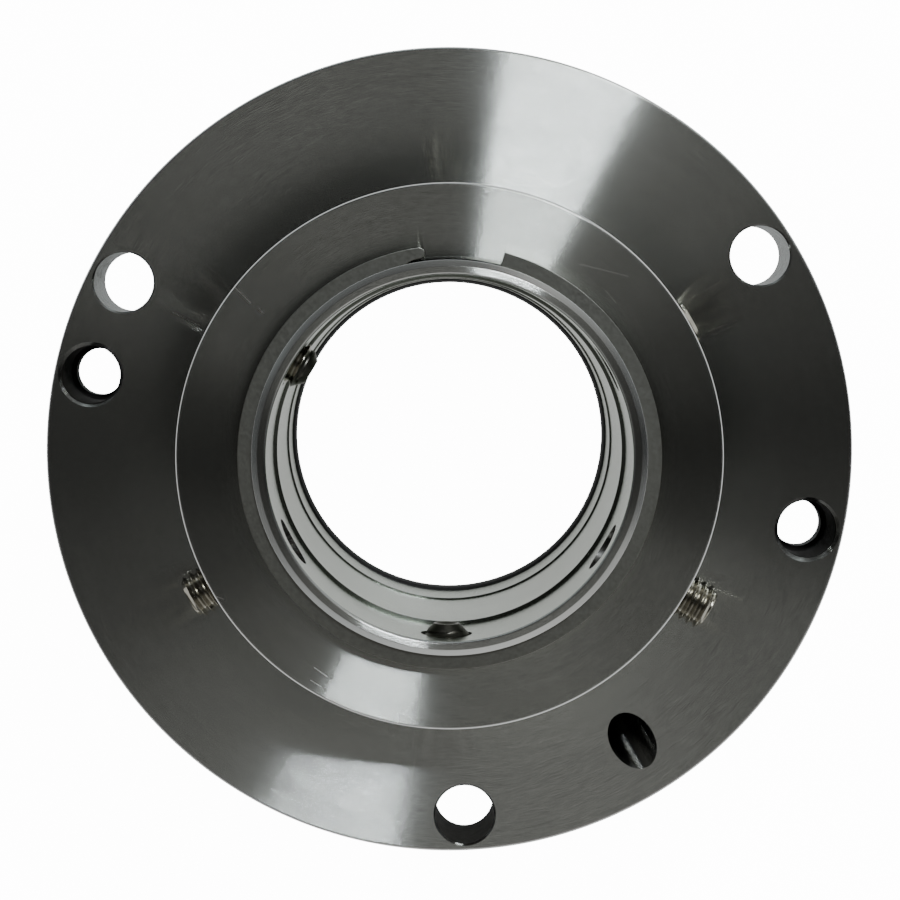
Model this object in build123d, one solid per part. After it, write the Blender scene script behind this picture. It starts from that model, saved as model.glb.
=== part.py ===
from build123d import *

import math
import os

# Cartridge mechanical seal for a stepped pump shaft.
#
# The seal's axis is Z and it stands on the inboard end of its sleeve, at z = 0.
# +Z points outboard, away from the pump. Angles are counter-clockwise from +X.
# All sizes are in millimetres.

# ---------------------------------------------------------------- shaft sleeve
shaft_bore_radius = 30.19  # main bore, over the shaft's full diameter
shaft_step = 0.34  # the inboard stretch of the bore is this much smaller all round
shaft_relief = 0.62  # the outboard stretch, where set screws mark the shaft, is wider
sleeve_wall = 3.11  # over the main bore
pilot_bore_length = 20.0
main_bore_length = 29.0
sleeve_end_chamfer = 1.1
bore_mouth_chamfer = 0.35
sleeve_lip_length = 1.4  # outboard of the retaining ring's groove
tail_length = 15.0  # the plain stretch inboard of the sleeve's head
tail_wall = 2.7  # how far the tail stands past the sleeve's outer diameter
tail_chamfer = 1.0
head_overhang = 0.5  # of the sleeve's head past the mating ring
head_thickness = 7.0
head_chamfer = 1.0
screw_window_clearance = 0.43  # round a set screw, in the sleeve's wall

shaft_ring_section = 3.53  # cord diameter of the O-ring that grips the shaft
shaft_ring_groove_width = 4.8
shaft_ring_groove_depth = 2.83
shaft_ring_squeeze = 0.77  # how far the free O-ring stands into the bore
shaft_ring_height = 7.1  # middle of the groove, above the sleeve's end

# ----------------------------------------------------------------- mating ring
mating_ring_wall = 11.5
mating_ring_length = 9.0
mating_ring_clearance = 0.20  # radial, over the sleeve
mating_ring_chamfer = 0.6
mating_oring_section = 3.53
mating_oring_clearance = 0.01  # radial, on each side of its O-ring
mating_oring_room = 4.8  # axial length of the pocket for its O-ring

drive_pin_radius = 1.5
drive_pin_inset = 4.0  # from the mating ring's rim to a pin's axis
drive_pin_count = 3
drive_pin_depth_in_head = 4.5
drive_pin_reach = 3.0
drive_pin_hole_clearance = 0.25

# ---------------------------------------------------- sprung primary seal ring
insert_clearance = 2.3  # radial, between the sleeve and the carbon ring
insert_length = 3.6
insert_grip = 3.52  # radial width of the holder's shoulder behind the carbon ring
face_inner_inset = 1.2  # from the carbon ring's bore to its running face
face_outer_inset = 1.6  # from the carbon ring's rim to its running face
face_nose_length = 1.4

holder_rim_wall = 1.0
holder_shoulder_step = 2.0
holder_length = 9.3
holder_rim_length = 4.3
insert_pocket_depth = 1.6
slide_clearance = 0.08  # radial, between the ring holder and the gland's nose

thrust_disc_thickness = 0.8
thrust_disc_clearance = 0.40  # radial, over the gland's nose
thrust_disc_overhang = 0.5  # past the spring's rim

spring_height = 3.4  # working height between the gland and the thrust disc
spring_strip = 0.6
spring_clearance = 0.9  # radial, over the gland's nose
spring_width = 2.8
spring_waves = 5

# ----------------------------------------------------------------- gland plate
flange_thickness = 15.875
flange_margin = 6.35  # from the stud circle to the flange's rim
flange_chamfer = 0.4
web_thickness = 8.0  # metal between the spring chamber and the outboard face
pilot_wall = 3.25
pilot_length = 5.0
pilot_chamfer = 0.5
chamber_clearance = 1.5  # radial, round the ring holder
lip_bite = 2.0  # how far the outboard lip covers the throttle bushing
lip_length = 1.6
nose_wall = 3.4
nose_length = 10.0
nose_chamfer = 0.4

bolt_hole_radius = 5.15
bolt_hole_count = 3
bolt_hole_start = 32.4
bolt_hole_chamfer = 0.3
bolt_hole_margin = 1.45  # metal between a stud hole and the O-ring's groove

jack_hole_radius = 3.97  # minor radius of the jack-screw thread
jack_mouth_depth = 1.68
jack_hole_count = 2
jack_hole_start = 167.75
jack_back_chamfer = 0.5

port_angle = 302.3
port_mouth_inset = 3.9  # from the stud circle in to the middle of the mouth
port_drill_radius = 3.82
port_slant = 43.9  # between the drilling and the seal's axis
port_drill_length = 23.0

side_port_radius = 4.3
side_port_depth_below_face = 9.0
side_port_length = 11.8
drill_point_angle = 118.0

gland_ring_margin = 2.75  # from the pilot to the O-ring's groove
gland_ring_section = 2.62  # cord diameter before it is squeezed
gland_ring_groove_width = 3.4
gland_ring_groove_depth = 2.1

nose_ring_section = 2.0
nose_ring_groove_width = 3.2
nose_ring_groove_depth = 2.1
nose_ring_offset = 2.5  # middle of the groove, from the nose's end
nose_ring_gap = 0.08  # between the O-ring and the holder's bore

torque_pin_radius = 1.2
torque_pin_clearance = 0.4  # radial, between the thrust disc and a pin
torque_pin_count = 3
torque_pin_start = 92.3
torque_pin_depth = 4.0
torque_pin_reach = 6.7
torque_slot_clearance = 0.35
torque_slot_depth = 4.4

# ------------------------------------------------------------ throttle bushing
bushing_clearance = 0.35  # radial, over the sleeve
bushing_wall = 2.35
bushing_length = 8.0
bushing_chamfer = 0.4
bushing_clip_thickness = 1.0
bushing_clip_width = 2.5
bushing_clip_bite = 1.15  # how far the clip stands into its groove

chamber_clip_thickness = 1.0
chamber_clip_width = 4.2
chamber_clip_bite = 1.35
chamber_clip_offset = 2.0  # middle of the groove, from the pilot's end
clip_play = 0.05
clip_gap_angle = 24.0

# ---------------------------------------------------------------- drive collar
collar_wall = 12.8
collar_length = 11.0
collar_bore_clearance = 0.15
collar_gap = 1.2  # between the collar and the gland's outboard face
collar_chamfer = 0.45
collar_clip_thickness = 1.57
collar_clip_overlap = 2.4  # how far the clip stands out of the sleeve
collar_clip_groove_depth = 1.1
collar_clip_play = 0.10
collar_clip_open_start = 75.0
collar_clip_open_end = 97.0
collar_clip_scallop_radius = 5.0
collar_clip_finger = 1.85

set_screw_radius = 3.97
set_screw_length = 12.7
set_screw_hole_clearance = 0.05
set_screw_count = 6
set_screw_start = 29.0
set_screw_point_radius = 2.2
set_screw_point_chamfer = 1.7
set_screw_cup_depth = 0.9
set_screw_end_chamfer = 0.6
set_screw_hex_across = 3.97
set_screw_hex_depth = 4.5
# How far each set screw's point stands out of the sleeve, from the first screw round.
set_screw_stand_off = (1.1, 0.2, -5.8, 4.6, -4.5, 5.5)

# --------------------------------------------- radii, from the shaft's bore out
pilot_bore_radius = shaft_bore_radius - shaft_step
relief_bore_radius = shaft_bore_radius + shaft_relief
sleeve_outer_radius = shaft_bore_radius + sleeve_wall

mating_ring_bore_radius = sleeve_outer_radius + mating_ring_clearance
mating_ring_radius = mating_ring_bore_radius + mating_ring_wall
mating_oring_inner_radius = sleeve_outer_radius + mating_oring_clearance
mating_oring_outer_radius = mating_oring_inner_radius + mating_oring_section
mating_oring_pocket_radius = mating_oring_outer_radius + mating_oring_clearance
head_radius = mating_ring_radius + head_overhang
tail_radius = sleeve_outer_radius + tail_wall
drive_pin_circle_radius = mating_ring_radius - drive_pin_inset

bushing_inner_radius = sleeve_outer_radius + bushing_clearance
bushing_outer_radius = bushing_inner_radius + bushing_wall
lip_radius = bushing_outer_radius - lip_bite
nose_radius = bushing_outer_radius + nose_wall

holder_bore_radius = nose_radius + slide_clearance
insert_inner_radius = sleeve_outer_radius + insert_clearance
insert_outer_radius = holder_bore_radius + insert_grip
face_inner_radius = insert_inner_radius + face_inner_inset
face_outer_radius = insert_outer_radius - face_outer_inset
holder_rim_radius = insert_outer_radius + holder_rim_wall
holder_outer_radius = holder_rim_radius + holder_shoulder_step

spring_inner_radius = nose_radius + spring_clearance
spring_outer_radius = spring_inner_radius + spring_width
thrust_disc_inner_radius = nose_radius + thrust_disc_clearance
thrust_disc_outer_radius = spring_outer_radius + thrust_disc_overhang
torque_pin_inner_radius = thrust_disc_outer_radius + torque_pin_clearance
torque_pin_circle_radius = torque_pin_inner_radius + torque_pin_radius

chamber_radius = holder_outer_radius + chamber_clearance
pilot_radius = chamber_radius + pilot_wall
gland_groove_inner_radius = pilot_radius + gland_ring_margin
gland_groove_outer_radius = gland_groove_inner_radius + gland_ring_groove_width
gland_ring_radius = (gland_groove_inner_radius + gland_groove_outer_radius) / 2
bolt_circle_radius = gland_groove_outer_radius + bolt_hole_margin + bolt_hole_radius
flange_radius = bolt_circle_radius + flange_margin
port_mouth_radius = bolt_circle_radius - port_mouth_inset

collar_bore_radius = sleeve_outer_radius + collar_bore_clearance
collar_radius = collar_bore_radius + collar_wall
collar_clip_groove_radius = sleeve_outer_radius - collar_clip_groove_depth
collar_clip_radius = sleeve_outer_radius + collar_clip_overlap
screw_window_radius = set_screw_radius + screw_window_clearance
set_screw_hole_radius = set_screw_radius + set_screw_hole_clearance

# ----------------------------------------- heights, from the sleeve's inboard end
head_height = tail_length
head_top_height = head_height + head_thickness
face_height = head_top_height + mating_ring_length
insert_back_height = face_height + insert_length
holder_height = insert_back_height - insert_pocket_depth
holder_top_height = holder_height + holder_length
disc_top_height = holder_top_height + thrust_disc_thickness
web_height = disc_top_height + spring_height
flange_front_height = web_height + web_thickness
mounting_face_height = flange_front_height - flange_thickness
pilot_end_height = mounting_face_height - pilot_length
nose_end_height = web_height - nose_length
nose_ring_height = nose_end_height + nose_ring_offset
bushing_top_height = flange_front_height - lip_length
bushing_bottom_height = bushing_top_height - bushing_length
chamber_clip_height = pilot_end_height + chamber_clip_offset
collar_height = flange_front_height + collar_gap
collar_top_height = collar_height + collar_length
collar_clip_groove_width = collar_clip_thickness + collar_clip_play
sleeve_length = collar_top_height + collar_clip_groove_width + sleeve_lip_length
set_screw_height = collar_height + collar_length / 2
relief_bore_height = pilot_bore_length + main_bore_length


def turned(*corners):
    """Turn a closed outline of (radius, height) corners about the seal's axis."""
    outline = make_face(Polyline(*corners, close=True))
    return revolve(Plane.XZ * outline, Axis.Z)


def turned_ring(inner, outer, low, high, chamfer_size=0.0):
    """Plain ring with its four corners chamfered alike."""
    cut = chamfer_size
    if cut == 0:
        return turned((inner, low), (outer, low), (outer, high), (inner, high))
    return turned(
        (inner + cut, low),
        (outer - cut, low),
        (outer, low + cut),
        (outer, high - cut),
        (outer - cut, high),
        (inner + cut, high),
        (inner, high - cut),
        (inner, low + cut),
    )


def o_ring(inner, section, height):
    """O-ring with the given inner radius and cord diameter."""
    return Pos(0, 0, height) * Torus(inner + section / 2, section / 2)


def around(shape, count, start):
    """Copies of a shape, spread evenly about the seal's axis."""
    return [Rot(0, 0, start + 360 * i / count) * shape for i in range(count)]


def upright_pin(circle_radius, radius, low, high):
    """Round pin parallel to the axis, with small chamfers."""
    pin = Cylinder(radius, high - low, align=(Align.CENTER, Align.CENTER, Align.MIN))
    pin = chamfer(pin.edges().filter_by(GeomType.CIRCLE), radius * 0.2)
    return Pos(circle_radius, 0, low) * pin


def drilled(circle_radius, radius, low, high):
    """Cutting cylinder parallel to the axis."""
    hole = Cylinder(radius, high - low, align=(Align.CENTER, Align.CENTER, Align.MIN))
    return Pos(circle_radius, 0, low) * hole


def countersink(circle_radius, mouth_radius, hole_radius, face_height, side):
    """45 degree countersink below (side = 1) or above (side = -1) a flat face."""
    depth = mouth_radius - hole_radius
    cone = Cone(hole_radius, mouth_radius, depth)
    if side < 0:
        cone = Rot(180, 0, 0) * cone
    return Pos(circle_radius, 0, face_height - side * depth / 2) * cone


# ---------------------------------------------------------------------- pieces
def make_shaft_sleeve():
    """Sleeve with its tail, head, stepped bore, screw windows and grooves."""
    groove_low = shaft_ring_height - shaft_ring_groove_width / 2
    groove_high = shaft_ring_height + shaft_ring_groove_width / 2
    groove_radius = pilot_bore_radius + shaft_ring_groove_depth
    clip_low = collar_top_height
    clip_high = collar_top_height + collar_clip_groove_width
    sleeve = turned(
        (pilot_bore_radius + bore_mouth_chamfer, 0),
        (tail_radius - tail_chamfer, 0),
        (tail_radius, tail_chamfer),
        (tail_radius, head_height),
        (head_radius - head_chamfer, head_height),
        (head_radius, head_height + head_chamfer),
        (head_radius, head_top_height),
        (sleeve_outer_radius, head_top_height),
        (sleeve_outer_radius, clip_low),
        (collar_clip_groove_radius, clip_low),
        (collar_clip_groove_radius, clip_high),
        (sleeve_outer_radius, clip_high),
        (sleeve_outer_radius, sleeve_length - sleeve_end_chamfer),
        (sleeve_outer_radius - sleeve_end_chamfer, sleeve_length),
        (relief_bore_radius + bore_mouth_chamfer, sleeve_length),
        (relief_bore_radius, sleeve_length - bore_mouth_chamfer),
        (relief_bore_radius, relief_bore_height),
        (shaft_bore_radius, relief_bore_height),
        (shaft_bore_radius, pilot_bore_length),
        (pilot_bore_radius, pilot_bore_length),
        (pilot_bore_radius, groove_high),
        (groove_radius, groove_high),
        (groove_radius, groove_low),
        (pilot_bore_radius, groove_low),
        (pilot_bore_radius, bore_mouth_chamfer),
    )
    reach = sleeve_outer_radius - relief_bore_radius + 4
    window = Rot(0, 90, 0) * Cylinder(screw_window_radius, reach)
    window = Pos(sleeve_outer_radius - 1, 0, set_screw_height) * window
    sleeve -= around(window, set_screw_count, set_screw_start)
    pin_low = head_top_height - drive_pin_depth_in_head
    pocket = drilled(drive_pin_circle_radius, drive_pin_radius, pin_low, head_top_height)
    sleeve -= around(pocket, drive_pin_count, bolt_hole_start)
    return sleeve


def make_shaft_o_ring():
    """O-ring in the sleeve's inboard groove, standing proud of the bore."""
    inner = pilot_bore_radius - shaft_ring_squeeze
    return o_ring(inner, shaft_ring_section, shaft_ring_height)


def make_drive_collar():
    """Collar that clamps the sleeve to the shaft through six radial screws."""
    collar = turned_ring(
        collar_bore_radius,
        collar_radius,
        collar_height,
        collar_top_height,
        collar_chamfer,
    )
    hole = Rot(0, 90, 0) * Cylinder(set_screw_hole_radius, 2 * collar_radius)
    hole = Pos(collar_radius, 0, set_screw_height) * hole
    return collar - around(hole, set_screw_count, set_screw_start)


def make_set_screw(index):
    """Cup-point socket set screw, lying along its own radius."""
    point = sleeve_outer_radius + set_screw_stand_off[index]
    tail = point + set_screw_length
    outline = make_face(
        Polyline(
            (point + set_screw_cup_depth, 0),
            (point, set_screw_point_radius),
            (point + set_screw_point_chamfer, set_screw_radius),
            (tail - set_screw_end_chamfer, set_screw_radius),
            (tail, set_screw_radius - set_screw_end_chamfer),
            (tail, 0),
            close=True,
        )
    )
    screw = revolve(outline, Axis.X)
    hexagon = RegularPolygon(set_screw_hex_across / 2, 6, major_radius=False)
    socket = extrude(Plane.YZ * hexagon, set_screw_hex_depth)
    screw -= Pos(tail - set_screw_hex_depth, 0, 0) * socket
    angle = set_screw_start + 360 * index / set_screw_count
    return Rot(0, 0, angle) * (Pos(0, 0, set_screw_height) * screw)


def make_collar_retaining_ring():
    """Open spring ring in the sleeve's groove, on the collar's outboard face."""
    inner = collar_clip_groove_radius + collar_clip_play / 2
    ring = Circle(collar_clip_radius) - Circle(inner)
    opening = make_face(
        Polyline(
            (0, 0),
            polar(2 * collar_clip_radius, collar_clip_open_start),
            polar(2 * collar_clip_radius, collar_clip_open_end),
            close=True,
        )
    )
    scallop_centre = collar_clip_radius - collar_clip_finger - collar_clip_scallop_radius
    scallop = Pos(*polar(scallop_centre, collar_clip_open_end)) * Circle(
        collar_clip_scallop_radius
    )
    blank = extrude(ring - opening - scallop, collar_clip_thickness)
    return Pos(0, 0, collar_top_height + collar_clip_play / 2) * largest(blank)


def make_mating_ring():
    """Hard ring that turns with the sleeve; its outboard face seals."""
    ring = turned(
        (mating_oring_pocket_radius, head_top_height),
        (mating_ring_radius - mating_ring_chamfer, head_top_height),
        (mating_ring_radius, head_top_height + mating_ring_chamfer),
        (mating_ring_radius, face_height - mating_ring_chamfer),
        (mating_ring_radius - mating_ring_chamfer, face_height),
        (mating_ring_bore_radius + mating_ring_chamfer, face_height),
        (mating_ring_bore_radius, face_height - mating_ring_chamfer),
        (mating_ring_bore_radius, head_top_height + mating_oring_room),
        (mating_oring_pocket_radius, head_top_height + mating_oring_room),
    )
    hole = drilled(
        drive_pin_circle_radius,
        drive_pin_radius + drive_pin_hole_clearance,
        head_top_height,
        head_top_height + drive_pin_reach + drive_pin_hole_clearance,
    )
    return ring - around(hole, drive_pin_count, bolt_hole_start)


def make_mating_o_ring():
    """O-ring between the sleeve and the mating ring."""
    height = head_top_height + mating_oring_room / 2
    return o_ring(mating_oring_inner_radius, mating_oring_section, height)


def make_drive_pin(index):
    """Pin that carries the mating ring round with the sleeve's head."""
    low = head_top_height - drive_pin_depth_in_head
    high = head_top_height + drive_pin_reach
    pin = upright_pin(drive_pin_circle_radius, drive_pin_radius, low, high)
    return around(pin, drive_pin_count, bolt_hole_start)[index]


def make_primary_insert():
    """Carbon ring with the raised nose that runs on the mating ring."""
    nose_top = face_height + face_nose_length
    return turned(
        (face_inner_radius, face_height),
        (face_outer_radius, face_height),
        (face_outer_radius, nose_top),
        (insert_outer_radius, nose_top),
        (insert_outer_radius, insert_back_height),
        (insert_inner_radius, insert_back_height),
        (insert_inner_radius, nose_top),
        (face_inner_radius, nose_top),
    )


def make_ring_holder():
    """Steel holder that grips the carbon ring and slides on the gland's nose."""
    shoulder = holder_height + holder_rim_length
    holder = turned(
        (insert_outer_radius, holder_height),
        (holder_rim_radius, holder_height),
        (holder_rim_radius, shoulder),
        (holder_outer_radius, shoulder),
        (holder_outer_radius, holder_top_height),
        (holder_bore_radius, holder_top_height),
        (holder_bore_radius, insert_back_height),
        (insert_outer_radius, insert_back_height),
    )
    inner_wall = torque_pin_inner_radius - torque_slot_clearance
    width = 2 * (torque_pin_radius + torque_slot_clearance)
    slot = Box(
        holder_outer_radius - inner_wall + 1,
        width,
        torque_slot_depth,
        align=(Align.MIN, Align.CENTER, Align.MAX),
    )
    slot = Pos(inner_wall, 0, holder_top_height) * slot
    return holder - around(slot, torque_pin_count, torque_pin_start)


def make_thrust_disc():
    """Flat washer between the wave spring and the ring holder."""
    return turned_ring(
        thrust_disc_inner_radius,
        thrust_disc_outer_radius,
        holder_top_height,
        disc_top_height,
    )


def make_wave_spring():
    """Flat strip bent into waves round the gland's nose, built in two halves."""
    swing = (spring_height - spring_strip) / 2
    middle = disc_top_height + swing
    steps = 8 * spring_waves

    def rim(radius, start, lift):
        points = []
        for i in range(steps // 2 + 1):
            turn = start + 2 * math.pi * i / steps
            rise = swing * math.cos(spring_waves * turn) + lift
            x = radius * math.cos(turn)
            y = radius * math.sin(turn)
            points.append((x, y, middle + rise))
        return Edge.make_spline(points)

    halves = []
    for start in (0, math.pi):
        low_inner = rim(spring_inner_radius, start, 0)
        low_outer = rim(spring_outer_radius, start, 0)
        high_inner = rim(spring_inner_radius, start, spring_strip)
        high_outer = rim(spring_outer_radius, start, spring_strip)
        edges = (low_inner, low_outer, high_outer, high_inner)
        walls = [
            Face.make_surface_from_curves(edges[i], edges[(i + 1) % 4])
            for i in range(4)
        ]
        ends = [
            Face(Wire.make_polygon([edge @ end for edge in edges], close=True))
            for end in (0, 1)
        ]
        halves.append(Solid(Shell(walls + ends)))
    return halves[0] + halves[1]


def make_gland_plate():
    """Flange with its pilot, spring chamber, inner nose, bolt holes and ports."""
    clip_low = chamber_clip_height - chamber_clip_thickness / 2 - clip_play
    clip_high = chamber_clip_height + chamber_clip_thickness / 2 + clip_play
    clip_radius = chamber_radius + chamber_clip_bite + clip_play
    nose_groove_radius = nose_radius - nose_ring_groove_depth
    nose_groove_low = nose_ring_height - nose_ring_groove_width / 2
    nose_groove_high = nose_ring_height + nose_ring_groove_width / 2
    bushing_clip_high = bushing_bottom_height - clip_play
    bushing_clip_low = bushing_clip_high - bushing_clip_thickness - 2 * clip_play
    bushing_clip_radius = bushing_outer_radius + bushing_clip_bite + clip_play
    gland_groove_top = mounting_face_height + gland_ring_groove_depth
    gland = turned(
        (chamber_radius + pilot_chamfer, pilot_end_height),
        (pilot_radius - pilot_chamfer, pilot_end_height),
        (pilot_radius, pilot_end_height + pilot_chamfer),
        (pilot_radius, mounting_face_height),
        (gland_groove_inner_radius, mounting_face_height),
        (gland_groove_inner_radius, gland_groove_top),
        (gland_groove_outer_radius, gland_groove_top),
        (gland_groove_outer_radius, mounting_face_height),
        (flange_radius - flange_chamfer, mounting_face_height),
        (flange_radius, mounting_face_height + flange_chamfer),
        (flange_radius, flange_front_height - flange_chamfer),
        (flange_radius - flange_chamfer, flange_front_height),
        (lip_radius, flange_front_height),
        (lip_radius, bushing_top_height),
        (bushing_outer_radius, bushing_top_height),
        (bushing_outer_radius, bushing_clip_high),
        (bushing_clip_radius, bushing_clip_high),
        (bushing_clip_radius, bushing_clip_low),
        (bushing_outer_radius, bushing_clip_low),
        (bushing_outer_radius, nose_end_height),
        (nose_radius - nose_chamfer, nose_end_height),
        (nose_radius, nose_end_height + nose_chamfer),
        (nose_radius, nose_groove_low),
        (nose_groove_radius, nose_groove_low),
        (nose_groove_radius, nose_groove_high),
        (nose_radius, nose_groove_high),
        (nose_radius, web_height),
        (chamber_radius, web_height),
        (chamber_radius, clip_high),
        (clip_radius, clip_high),
        (clip_radius, clip_low),
        (chamber_radius, clip_low),
        (chamber_radius, pilot_end_height + pilot_chamfer),
    )
    gland -= bolt_holes()
    gland -= jack_holes()
    gland -= slanted_port()
    gland -= side_port()
    socket = drilled(
        torque_pin_circle_radius,
        torque_pin_radius,
        web_height,
        web_height + torque_pin_depth,
    )
    return gland - around(socket, torque_pin_count, torque_pin_start)


def bolt_holes():
    """Clearance holes for the gland studs, lightly chamfered at both ends."""
    mouth = bolt_hole_radius + bolt_hole_chamfer
    hole = drilled(
        bolt_circle_radius, bolt_hole_radius, mounting_face_height, flange_front_height
    )
    hole += countersink(
        bolt_circle_radius, mouth, bolt_hole_radius, flange_front_height, 1
    )
    hole += countersink(
        bolt_circle_radius, mouth, bolt_hole_radius, mounting_face_height, -1
    )
    return around(hole, bolt_hole_count, bolt_hole_start)


def jack_holes():
    """Tapped holes whose screws push the gland off its pilot."""
    hole = drilled(
        bolt_circle_radius, jack_hole_radius, mounting_face_height, flange_front_height
    )
    mouth = jack_hole_radius + jack_mouth_depth
    hole += countersink(
        bolt_circle_radius, mouth, jack_hole_radius, flange_front_height, 1
    )
    back_mouth = jack_hole_radius + jack_back_chamfer
    hole += countersink(
        bolt_circle_radius, back_mouth, jack_hole_radius, mounting_face_height, -1
    )
    return around(hole, jack_hole_count, jack_hole_start)


def slanted_port():
    """Drilling from the outboard face down and in to the spring chamber."""
    above = 6.0
    drill = Cylinder(
        port_drill_radius,
        port_drill_length + above,
        align=(Align.CENTER, Align.CENTER, Align.MAX),
    )
    slanted = Rot(0, port_slant, 0) * (Pos(0, 0, above) * drill)
    placed = Pos(port_mouth_radius, 0, flange_front_height) * slanted
    return Rot(0, 0, port_angle) * placed


def side_port():
    """Tap drilling from the flange's rim, which meets the slanted drilling."""
    above = 2.0
    tip = side_port_radius / math.tan(math.radians(drill_point_angle / 2))
    outline = make_face(
        Polyline(
            (flange_radius + above, 0),
            (flange_radius + above, side_port_radius),
            (flange_radius - side_port_length, side_port_radius),
            (flange_radius - side_port_length - tip, 0),
            close=True,
        )
    )
    drill = revolve(outline, Axis.X)
    height = flange_front_height - side_port_depth_below_face
    return Rot(0, 0, port_angle) * (Pos(0, 0, height) * drill)


def make_gland_o_ring():
    """O-ring in the gland's mounting face, squeezed level with it as in service."""
    height = gland_ring_groove_depth
    cord_area = math.pi * gland_ring_section**2 / 4
    flat = (cord_area - math.pi * height**2 / 4) / height
    section = SlotCenterToCenter(flat, height)
    middle = mounting_face_height + height / 2
    placed = Plane.XZ * (Pos(gland_ring_radius, middle) * section)
    return revolve(placed, Axis.Z)


def make_nose_o_ring():
    """O-ring on the gland's nose that the primary ring slides over."""
    inner = holder_bore_radius - nose_ring_gap - nose_ring_section
    return o_ring(inner, nose_ring_section, nose_ring_height)


def make_torque_pin(index):
    """Pin that keeps the primary ring from turning."""
    low = web_height - torque_pin_reach
    high = web_height + torque_pin_depth
    pin = upright_pin(torque_pin_circle_radius, torque_pin_radius, low, high)
    return around(pin, torque_pin_count, torque_pin_start)[index]


def make_throttle_bushing():
    """Carbon bushing that slows a leak along the sleeve."""
    return turned_ring(
        bushing_inner_radius,
        bushing_outer_radius,
        bushing_bottom_height,
        bushing_top_height,
        bushing_chamfer,
    )


def inner_clip(groove_radius, width, thickness, middle, gap_at):
    """Open spring ring that sits in a groove inside a bore."""
    outer = groove_radius - clip_play
    reach = 2 * groove_radius
    opening = make_face(
        Polyline(
            (0, 0),
            polar(reach, gap_at - clip_gap_angle / 2),
            polar(reach, gap_at + clip_gap_angle / 2),
            close=True,
        )
    )
    flat = Circle(outer) - Circle(outer - width) - opening
    return Pos(0, 0, middle - thickness / 2) * largest(extrude(flat, thickness))


def make_bushing_clip():
    """Spring ring that holds the throttle bushing in the gland's nose."""
    groove = bushing_outer_radius + bushing_clip_bite + clip_play
    middle = bushing_bottom_height - 2 * clip_play - bushing_clip_thickness / 2
    return inner_clip(
        groove, bushing_clip_width, bushing_clip_thickness, middle, bolt_hole_start
    )


def make_chamber_clip():
    """Spring ring that keeps the primary ring in the gland on the bench."""
    groove = chamber_radius + chamber_clip_bite + clip_play
    return inner_clip(
        groove,
        chamber_clip_width,
        chamber_clip_thickness,
        chamber_clip_height,
        torque_pin_start,
    )


def polar(radius, angle):
    """Plane point at a radius and an angle in degrees."""
    turn = math.radians(angle)
    return (radius * math.cos(turn), radius * math.sin(turn))


def largest(shape):
    """The biggest solid of a shape, without any sliver that a cut left."""
    return shape.solids().sort_by(SortBy.VOLUME)[-1]


# ---------------------------------------------------------------------- export
nodes = {
    "gland_plate": make_gland_plate(),
    "gland_o_ring": make_gland_o_ring(),
    "throttle_bushing": make_throttle_bushing(),
    "bushing_retaining_ring": make_bushing_clip(),
    "nose_o_ring": make_nose_o_ring(),
    "wave_spring": make_wave_spring(),
    "primary_retaining_ring": make_chamber_clip(),
    "primary_ring_holder": make_ring_holder(),
    "primary_ring_insert": make_primary_insert(),
    "thrust_disc": make_thrust_disc(),
    "shaft_sleeve": make_shaft_sleeve(),
    "shaft_o_ring": make_shaft_o_ring(),
    "mating_ring": make_mating_ring(),
    "mating_ring_o_ring": make_mating_o_ring(),
    "drive_collar": make_drive_collar(),
    "collar_retaining_ring": make_collar_retaining_ring(),
}
for index in range(set_screw_count):
    nodes[f"set_screw_{index + 1}"] = make_set_screw(index)
for index in range(drive_pin_count):
    nodes[f"drive_pin_{index + 1}"] = make_drive_pin(index)
for index in range(torque_pin_count):
    nodes[f"torque_pin_{index + 1}"] = make_torque_pin(index)

os.makedirs("parts", exist_ok=True)
for name, shape in nodes.items():
    export_step(shape, f"parts/{name}.step")
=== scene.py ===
"""Looks of the cartridge mechanical seal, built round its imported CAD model.

Lengths are in millimetres in the part's own frame: the seal stands at z = 0 on the
inboard end of its sleeve, and +Z points outboard. Angles are in degrees from +X.
"""

import math

import bmesh
import bpy
from mathutils import Matrix, Vector


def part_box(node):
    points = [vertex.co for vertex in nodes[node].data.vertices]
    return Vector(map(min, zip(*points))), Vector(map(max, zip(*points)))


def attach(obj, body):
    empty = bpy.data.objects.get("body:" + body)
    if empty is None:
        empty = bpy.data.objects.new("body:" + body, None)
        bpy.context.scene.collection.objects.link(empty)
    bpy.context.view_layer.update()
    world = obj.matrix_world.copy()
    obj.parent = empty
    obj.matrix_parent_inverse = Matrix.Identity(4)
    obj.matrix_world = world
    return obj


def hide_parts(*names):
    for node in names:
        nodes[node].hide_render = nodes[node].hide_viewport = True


MM = 0.001
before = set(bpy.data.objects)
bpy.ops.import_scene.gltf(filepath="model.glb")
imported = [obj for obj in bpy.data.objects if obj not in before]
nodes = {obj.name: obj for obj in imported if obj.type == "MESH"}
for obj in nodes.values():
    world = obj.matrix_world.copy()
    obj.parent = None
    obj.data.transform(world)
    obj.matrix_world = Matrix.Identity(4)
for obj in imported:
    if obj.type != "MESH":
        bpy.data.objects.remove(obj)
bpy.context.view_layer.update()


def low(node):
    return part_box(node)[0] / MM


def high(node):
    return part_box(node)[1] / MM


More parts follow.
